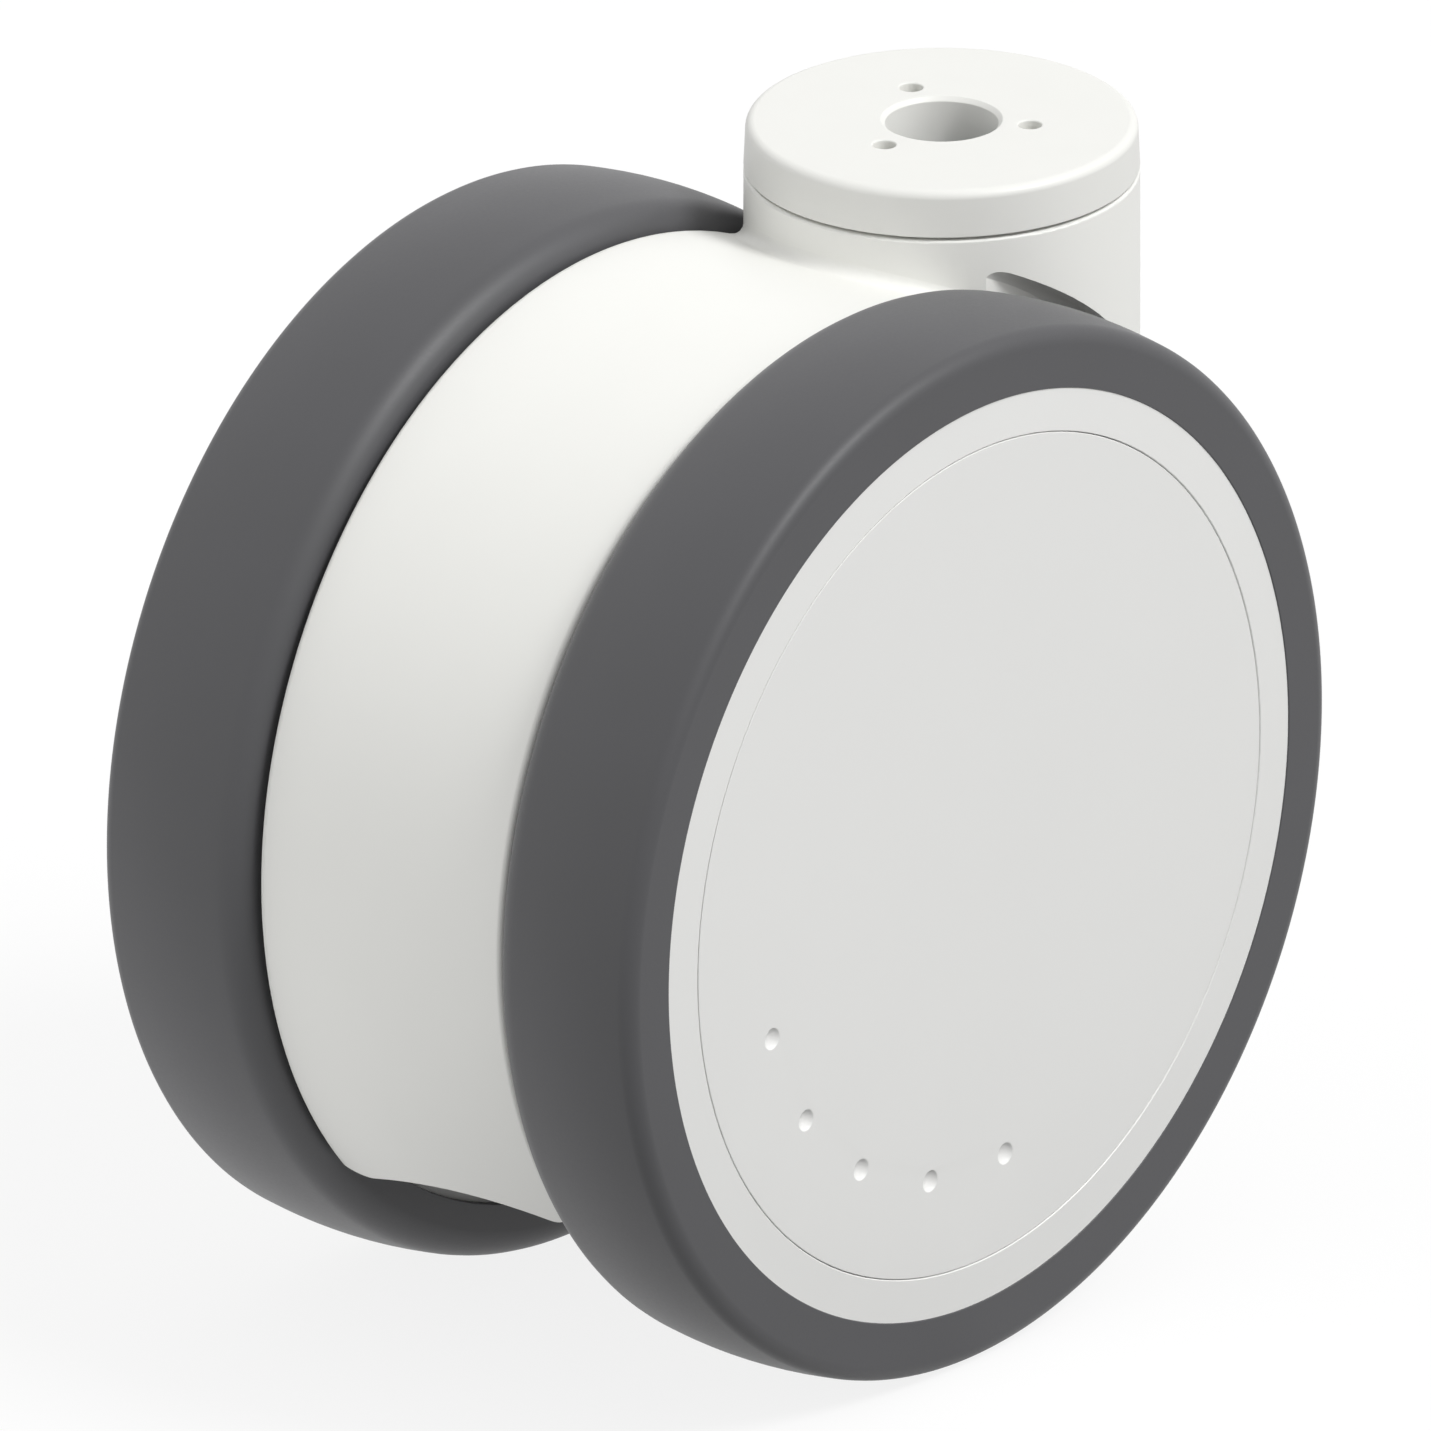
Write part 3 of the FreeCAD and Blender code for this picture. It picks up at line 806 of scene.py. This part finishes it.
@dataclass
class Wheel:
    """One wheel: tyre, wheel centre, cover and bearing.

    Attributes:
        side: Which wheel it is.
        tyre_thickness: Height of the tyre over the rim.
        rim_step: How much higher the rim stands on its inner side.
        crown_radius: Rounding across the tread's crown.
        crown_shift: Distance of the crown from the tread's middle, outwards.
        outer_shoulder: Rounding of the tread's outer edge.
        inner_shoulder: Rounding of the tread's inner edge.
        tyre_lip: Rounding of the tyre where its faces meet the rim.
        key_height: Depth of the groove that keys the tyre to the rim.
        key_width: Width of that groove.
        cover_thickness: Thickness of the cover's plate.
        cover_gap: Gap between the cover and the rim.
        solid_chamfer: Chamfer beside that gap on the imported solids.
        groove_chamfer: Chamfer that is drawn there, finer, as the photograph has it.
        cover_edge: Rounding of the cover's other edges.
        skirt_wall: Wall of the cover's skirt.
        spigot_radius: Radius of the ring that centres the cover on the hub.
        spigot_wall: Wall of that ring.
        spigot_end: Distance of that ring's end below the cover's face.
        dimples: Number of dimples.
        dimple_radius: Radius of a dimple.
        dimple_depth: Depth of a dimple.
        dimple_circle: Radius of the circle that the dimples stand on.
        first_dimple: Angle of the first dimple from +X towards +Z, in degrees.
        dimple_step: Angle from one dimple to the next, in degrees.
        round_points: Points round the tyre and the cover.
        small_points: Points round a dimple.
    """

    side: Side
    tyre_thickness: float = 7.8
    rim_step: float = 0.4
    crown_radius: float = 51.4
    crown_shift: float = 0.5
    outer_shoulder: float = 2.1
    inner_shoulder: float = 3.7
    tyre_lip: float = 0.15
    key_height: float = 1.6
    key_width: float = 8.0
    cover_thickness: float = 2.5
    cover_gap: float = 0.1
    solid_chamfer: float = 0.35
    groove_chamfer: float = 0.1
    cover_edge: float = 0.15
    skirt_wall: float = 2.2
    spigot_radius: float = 13.82
    spigot_wall: float = 1.8
    spigot_end: float = 6.175
    dimples: int = 5
    dimple_radius: float = 1.375
    dimple_depth: float = 0.6
    dimple_circle: float = 38.5
    first_dimple: float = 197.0
    dimple_step: float = 20.0
    round_points: int = 288
    small_points: int = 40

    def __post_init__(self) -> None:
        """Take the wheel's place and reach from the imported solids."""
        self.word, self.facing = self.side.value
        self.body = f"{self.word}_wheel"
        low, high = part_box(f"{self.word}_tyre")
        self.radius = (high.z - low.z) / 2 / MM
        self.inner, self.outer = sorted((abs(low.y) / MM, abs(high.y) / MM))
        middle = (low + high) / 2 / MM
        self.lathe = Lathe(
            Vector((middle.x, 0, middle.z)),
            Vector((0, self.facing, 0)),
            Vector((1, 0, 0)),
            Vector((0, 0, 1)),
        )

    def build(self) -> None:
        """Build the tyre, the wheel centre and the cover."""
        self.build_tyre()
        self.build_centre()
        self.build_cover()

    def build_tyre(self) -> None:
        """Turn the tyre, with its crowned tread and the groove that keys it to the rim."""
        rim = self.radius - self.tyre_thickness
        inner_rim = rim + self.rim_step
        middle = (self.inner + self.outer) / 2
        key_start = middle - self.key_width / 2
        key_end = middle + self.key_width / 2
        slope = math.asin(((self.outer - self.inner) / 2 - self.inner_shoulder) / self.crown_radius)
        crown = middle + self.crown_shift
        peak = self.radius + self.crown_radius * (1 / math.cos(slope) - 1)
        profile = rounded(
            [
                (inner_rim, key_start),
                (inner_rim, self.inner, self.tyre_lip),
                (peak - (crown - self.inner) * math.tan(slope), self.inner, self.inner_shoulder),
                (peak, crown, self.crown_radius),
                (peak - (self.outer - crown) * math.tan(slope), self.outer, self.outer_shoulder),
                (rim, self.outer, self.tyre_lip),
                (rim, key_end),
                (rim + self.key_height, key_end),
                (rim + self.key_height, key_start),
            ]
        )
        turning = Turning()
        turning.skin(self.lathe, profile, self.round_points, closed=True)
        turning.piece(f"{self.word}_tyre", self.body, Finish.TYRE)

    def build_centre(self) -> None:
        """Copy the wheel centre, with a finer edge beside the cover."""
        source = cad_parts[f"{self.word}_wheel_centre"].data
        normals = [corner.vector.copy() for corner in source.corner_normals]
        low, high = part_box(f"{self.word}_wheel_cover")
        bore = (high.z - low.z) / 2 / MM + self.cover_gap
        finer = self.solid_chamfer - self.groove_chamfer
        # The two circles of the chamfer as (radius, along), and how far each moves in radius and along
        moves = {
            (bore + self.solid_chamfer, self.outer): (-finer, 0.0),
            (bore, self.outer - self.solid_chamfer): (0.0, finer),
        }
        data = source.copy()
        for vertex in data.vertices:
            arm = vertex.co / MM - self.lathe.base
            along = arm.y * self.facing
            arm.y = 0
            for (circle, depth), (wider, outwards) in moves.items():
                off_circle = max(abs(arm.length - circle), abs(along - depth))
                if off_circle < self.groove_chamfer:
                    shift = arm.normalized() * wider + self.lathe.axis * outwards
                    vertex.co += shift * MM
        data.materials.clear()
        stand_in(data, f"{self.word}_wheel_centre", self.body, Finish.RIM)
        data.normals_split_custom_set(normals)

    def build_cover(self) -> None:
        """Turn the cover, and sink its dimples."""
        low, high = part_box(f"{self.word}_wheel_cover")
        radius = (high.z - low.z) / 2 / MM
        skirt_end, face = sorted((abs(low.y) / MM, abs(high.y) / MM))
        back = face - self.cover_thickness
        ring_end = face - self.spigot_end
        ring_bore = self.spigot_radius - self.spigot_wall
        # The face itself is filled in last, round the dimples
        profile = rounded(
            [
                (radius - self.groove_chamfer, face),
                (radius, face - self.groove_chamfer),
                (radius, skirt_end, self.cover_edge),
                (radius - self.skirt_wall, skirt_end, self.cover_edge),
                (radius - self.skirt_wall, back, self.cover_edge),
                (self.spigot_radius, back, self.cover_edge),
                (self.spigot_radius, ring_end, self.cover_edge),
                (ring_bore, ring_end, self.cover_edge),
                (ring_bore, back, self.cover_edge),
                (0.0, back),
            ]
        )
        turning = Turning()
        outer = turning.skin(self.lathe, profile, self.round_points)[0]
        sphere = (self.dimple_radius**2 + self.dimple_depth**2) / (2 * self.dimple_depth)
        brim = math.asin(self.dimple_radius / sphere)
        bowl: Profile = []
        for step in range(ARC_STEPS + 1):
            lean = brim * (1 - step / ARC_STEPS)
            bowl.append((sphere * math.sin(lean), face - sphere * (math.cos(lean) - math.cos(brim))))
        mouths: list[Ring] = []
        for number in range(self.dimples):
            angle = math.radians(self.first_dimple + self.dimple_step * number)
            dimple = self.lathe.beside(self.dimple_circle, angle)
            mouths.append(turning.skin(dimple, bowl, self.small_points)[0])
        turning.plate(outer, *mouths)
        turning.piece(f"{self.word}_wheel_cover", self.body, Finish.COVER)

    def dress(self) -> None:
        """Give the bearing and what holds it their finishes."""
        dress(f"{self.word}_wheel_bearing_inner_ring", Finish.WHEEL_RING)
        dress(f"{self.word}_wheel_bearing_outer_ring", Finish.WHEEL_RING)
        dress(f"{self.word}_wheel_bearing_balls", Finish.BALL)
        dress(f"{self.word}_wheel_bearing_cage", Finish.CAGE)
        dress(f"{self.word}_axle_spacer", Finish.AXLE)
        dress(f"{self.word}_axle_circlip", Finish.CLIP)


@dataclass(frozen=True)
class Source:
    """A light, far off.

    Attributes:
        azimuth: Where it stands round the object, in degrees from +X towards +Y.
        elevation: How high it stands, in degrees.
        strength: How bright it is.
    """

    azimuth: float
    elevation: float
    strength: float

    def direction(self) -> Vector:
        """Find which way the source lies.

        Returns:
            Unit vector towards it.
        """
        around = math.radians(self.azimuth)
        level = math.radians(self.elevation)
        flat = math.cos(level)
        return Vector((flat * math.cos(around), flat * math.sin(around), math.sin(level)))


@dataclass(frozen=True)
class Softbox(Source):
    """A broad source without an edge, which only lights.

    Attributes:
        gather: How fast it fades away from its middle.
    """

    gather: float = 3.0


@dataclass(frozen=True)
class Lamp(Source):
    """A lamp with a soft disc, which also shows as a highlight.

    Attributes:
        spread: Width of its disc, in degrees.
    """

    spread: float


@dataclass
class Studio:
    """Pale light table, soft light all round and a camera that looks as the photograph does.

    Attributes:
        softboxes: The broad sources that light the object.
        lamps: The lamps whose highlights run along the tyres' shoulders.
        backdrop_colour: sRGB hex of what stands behind the object.
        table_colour: sRGB hex of the table's top.
        table_veil: How far the table's own white covers the shadow on it.
        table_width: Width of the table, in metres.
        azimuth: Where the camera stands, in degrees from -Y towards +X.
        elevation: How high the camera stands, in degrees.
        photo_pixels: Width and height of the photograph.
        pixels_per_mm: Its scale.
        axle_pixel: Where the middle of the axle lies in it.
        camera_distance: Distance from the camera to the object, in metres.
    """

    softboxes: tuple[Softbox, ...] = (
        Softbox(azimuth=-80.0, elevation=42.0, strength=1.5),
        Softbox(azimuth=40.0, elevation=42.0, strength=0.62),
        Softbox(azimuth=125.0, elevation=42.0, strength=0.12),
        Softbox(azimuth=140.0, elevation=0.0, strength=1.5),
        Softbox(azimuth=170.0, elevation=-42.0, strength=0.2),
    )
    lamps: tuple[Lamp, ...] = (Lamp(azimuth=-76.0, elevation=48.0, strength=1.78, spread=20.0),)
    backdrop_colour: str = "#FFFFFF"
    table_colour: str = "#F4F4F4"
    table_veil: float = 0.85
    table_width: float = 20.0
    azimuth: float = -50.0
    elevation: float = 22.0
    photo_pixels: int = 1431
    pixels_per_mm: float = 8.736
    axle_pixel: tuple[float, float] = (714.365, 772.521)
    camera_distance: float = 1.0

    def build(self) -> None:
        """Set up the floor, the light and the camera."""
        self.build_floor()
        self.build_light()
        self.build_lamps()
        self.build_camera()

    def light_along(self, tree: Tree, way: Socket) -> Socket:
        """Add up the softboxes in one direction.

        Args:
            tree: Node tree to add to.
            way: Unit vector from the object to what lights it.

        Returns:
            Brightness of the light from there.
        """
        light: Any = 0.0
        for box in self.softboxes:
            facing = add_node(
                tree, "ShaderNodeVectorMath", {0: way, 1: box.direction()}, operation="DOT_PRODUCT"
            )
            front = add_node(
                tree, "ShaderNodeMath", {0: facing.outputs["Value"], 1: 0.0}, operation="MAXIMUM"
            )
            faded = add_node(
                tree, "ShaderNodeMath", {0: front.outputs["Value"], 1: box.gather}, operation="POWER"
            )
            light = add_node(
                tree,
                "ShaderNodeMath",
                {0: faded.outputs["Value"], 1: box.strength, 2: light},
                operation="MULTIPLY_ADD",
            ).outputs["Value"]
        return light

    def glow(self, tree: Tree, path: bpy.types.Node, way: Socket) -> Socket:
        """Tell what is seen, straight or in metal and glass, from what lights the object.

        Args:
            tree: Node tree to add to.
            path: Light Path node of that tree.
            way: Unit vector from the object to the surface that glows.

        Returns:
            Strength of the glow: white on camera, glossy and transmission rays, the softboxes on the others.
        """
        seen = path.outputs["Is Camera Ray"]
        for kind in ("Is Glossy Ray", "Is Transmission Ray"):
            seen = add_node(
                tree, "ShaderNodeMath", {0: seen, 1: path.outputs[kind]}, operation="MAXIMUM"
            ).outputs["Value"]
        first, second = MIX_FLOATS
        light = self.light_along(tree, way)
        return add_node(tree, "ShaderNodeMix", {0: seen, first: light, second: 1.0}).outputs["Result"]

    def build_floor(self) -> None:
        """Lay the table's top under the tyres.

        It looks white with a faint shadow, and it passes on the light of the softboxes that stand behind it.
        """
        half = self.table_width / 2
        level = CAD_BOX[0].z
        data = bpy.data.meshes.new("table_top")
        corners = [(-half, -half, level), (half, -half, level), (half, half, level), (-half, half, level)]
        data.from_pydata(corners, [], [(0, 1, 2, 3)])
        acrylic = bpy.data.materials.new("acrylic_opal_lit")
        tree = emptied(acrylic)
        path = add_node(tree, "ShaderNodeLightPath")
        place = add_node(tree, "ShaderNodeNewGeometry").outputs["Position"]
        away = add_node(tree, "ShaderNodeVectorMath", {0: place, 1: middle_of("axle")}, operation="SUBTRACT")
        way = add_node(tree, "ShaderNodeVectorMath", {0: away.outputs["Vector"]}, operation="NORMALIZE")
        glow = add_node(
            tree, "ShaderNodeEmission", {"Strength": self.glow(tree, path, way.outputs["Vector"])}
        )
        matt = add_node(tree, "ShaderNodeBsdfDiffuse", {"Color": linear(self.table_colour)})
        bared = add_node(
            tree,
            "ShaderNodeMath",
            {0: path.outputs["Is Camera Ray"], 1: 1 - self.table_veil},
            operation="MULTIPLY",
        )
        top = add_node(
            tree,
            "ShaderNodeMixShader",
            {0: bared.outputs["Value"], 1: glow.outputs["Emission"], 2: matt.outputs["BSDF"]},
        )
        add_node(tree, "ShaderNodeOutputMaterial", {"Surface": top.outputs["Shader"]})
        data.materials.append(acrylic)
        table = bpy.data.objects.new("table_top", data)
        bpy.context.scene.collection.objects.link(table)

    def build_light(self) -> None:
        """Light the object from broad soft sources, against white."""
        world = bpy.data.worlds.new("soft_studio")
        tree = emptied(world)
        way = add_node(tree, "ShaderNodeTexCoord").outputs["Generated"]
        path = add_node(tree, "ShaderNodeLightPath")
        sky = add_node(
            tree,
            "ShaderNodeBackground",
            {"Color": linear(self.backdrop_colour), "Strength": self.glow(tree, path, way)},
        )
        add_node(tree, "ShaderNodeOutputWorld", {"Surface": sky.outputs["Background"]})
        bpy.context.scene.world = world

    def build_lamps(self) -> None:
        """Hang the lamps."""
        for number, lamp in enumerate(self.lamps):
            name = f"lamp_{number + 1}"
            light = bpy.data.lights.new(name, "SUN")
            light.energy = lamp.strength
            light.angle = math.radians(lamp.spread)
            holder = bpy.data.objects.new(name, light)
            holder.rotation_euler = lamp.direction().to_track_quat("Z", "Y").to_euler()
            bpy.context.scene.collection.objects.link(holder)

    def build_camera(self) -> None:
        """Stand the camera at the photograph's angle, with parallel projection as it has."""
        around = math.radians(self.azimuth)
        level = math.radians(self.elevation)
        flat = math.cos(level)
        right = Vector((math.cos(around), math.sin(around), 0))
        back = Vector((math.sin(around) * flat, -math.cos(around) * flat, math.sin(level)))
        up = back.cross(right)
        centre = self.photo_pixels / 2
        aim = middle_of("axle")
        aim += right * ((centre - self.axle_pixel[0]) / self.pixels_per_mm * MM)
        aim += up * ((self.axle_pixel[1] - centre) / self.pixels_per_mm * MM)
        lens = bpy.data.cameras.new("camera")
        lens.type = "ORTHO"
        lens.ortho_scale = self.photo_pixels / self.pixels_per_mm * MM
        camera = bpy.data.objects.new("camera", lens)
        turn = Matrix((right, up, back)).transposed()
        camera.matrix_world = Matrix.Translation(aim + back * self.camera_distance) @ turn.to_4x4()
        bpy.context.scene.collection.objects.link(camera)
        bpy.context.scene.camera = camera


def main() -> None:
    """Build and dress each sub-assembly, then the studio."""
    logging.basicConfig(level=logging.INFO, format="%(name)s: %(message)s")
    head = SwivelHead()
    head.build()
    head.dress()
    housing = Housing()
    housing.build()
    housing.dress()
    for side in Side:
        wheel = Wheel(side)
        wheel.build()
        wheel.dress()
    Studio().build()
    bpy.context.scene.view_settings.view_transform = "Standard"


if __name__ == "__main__":
    main()
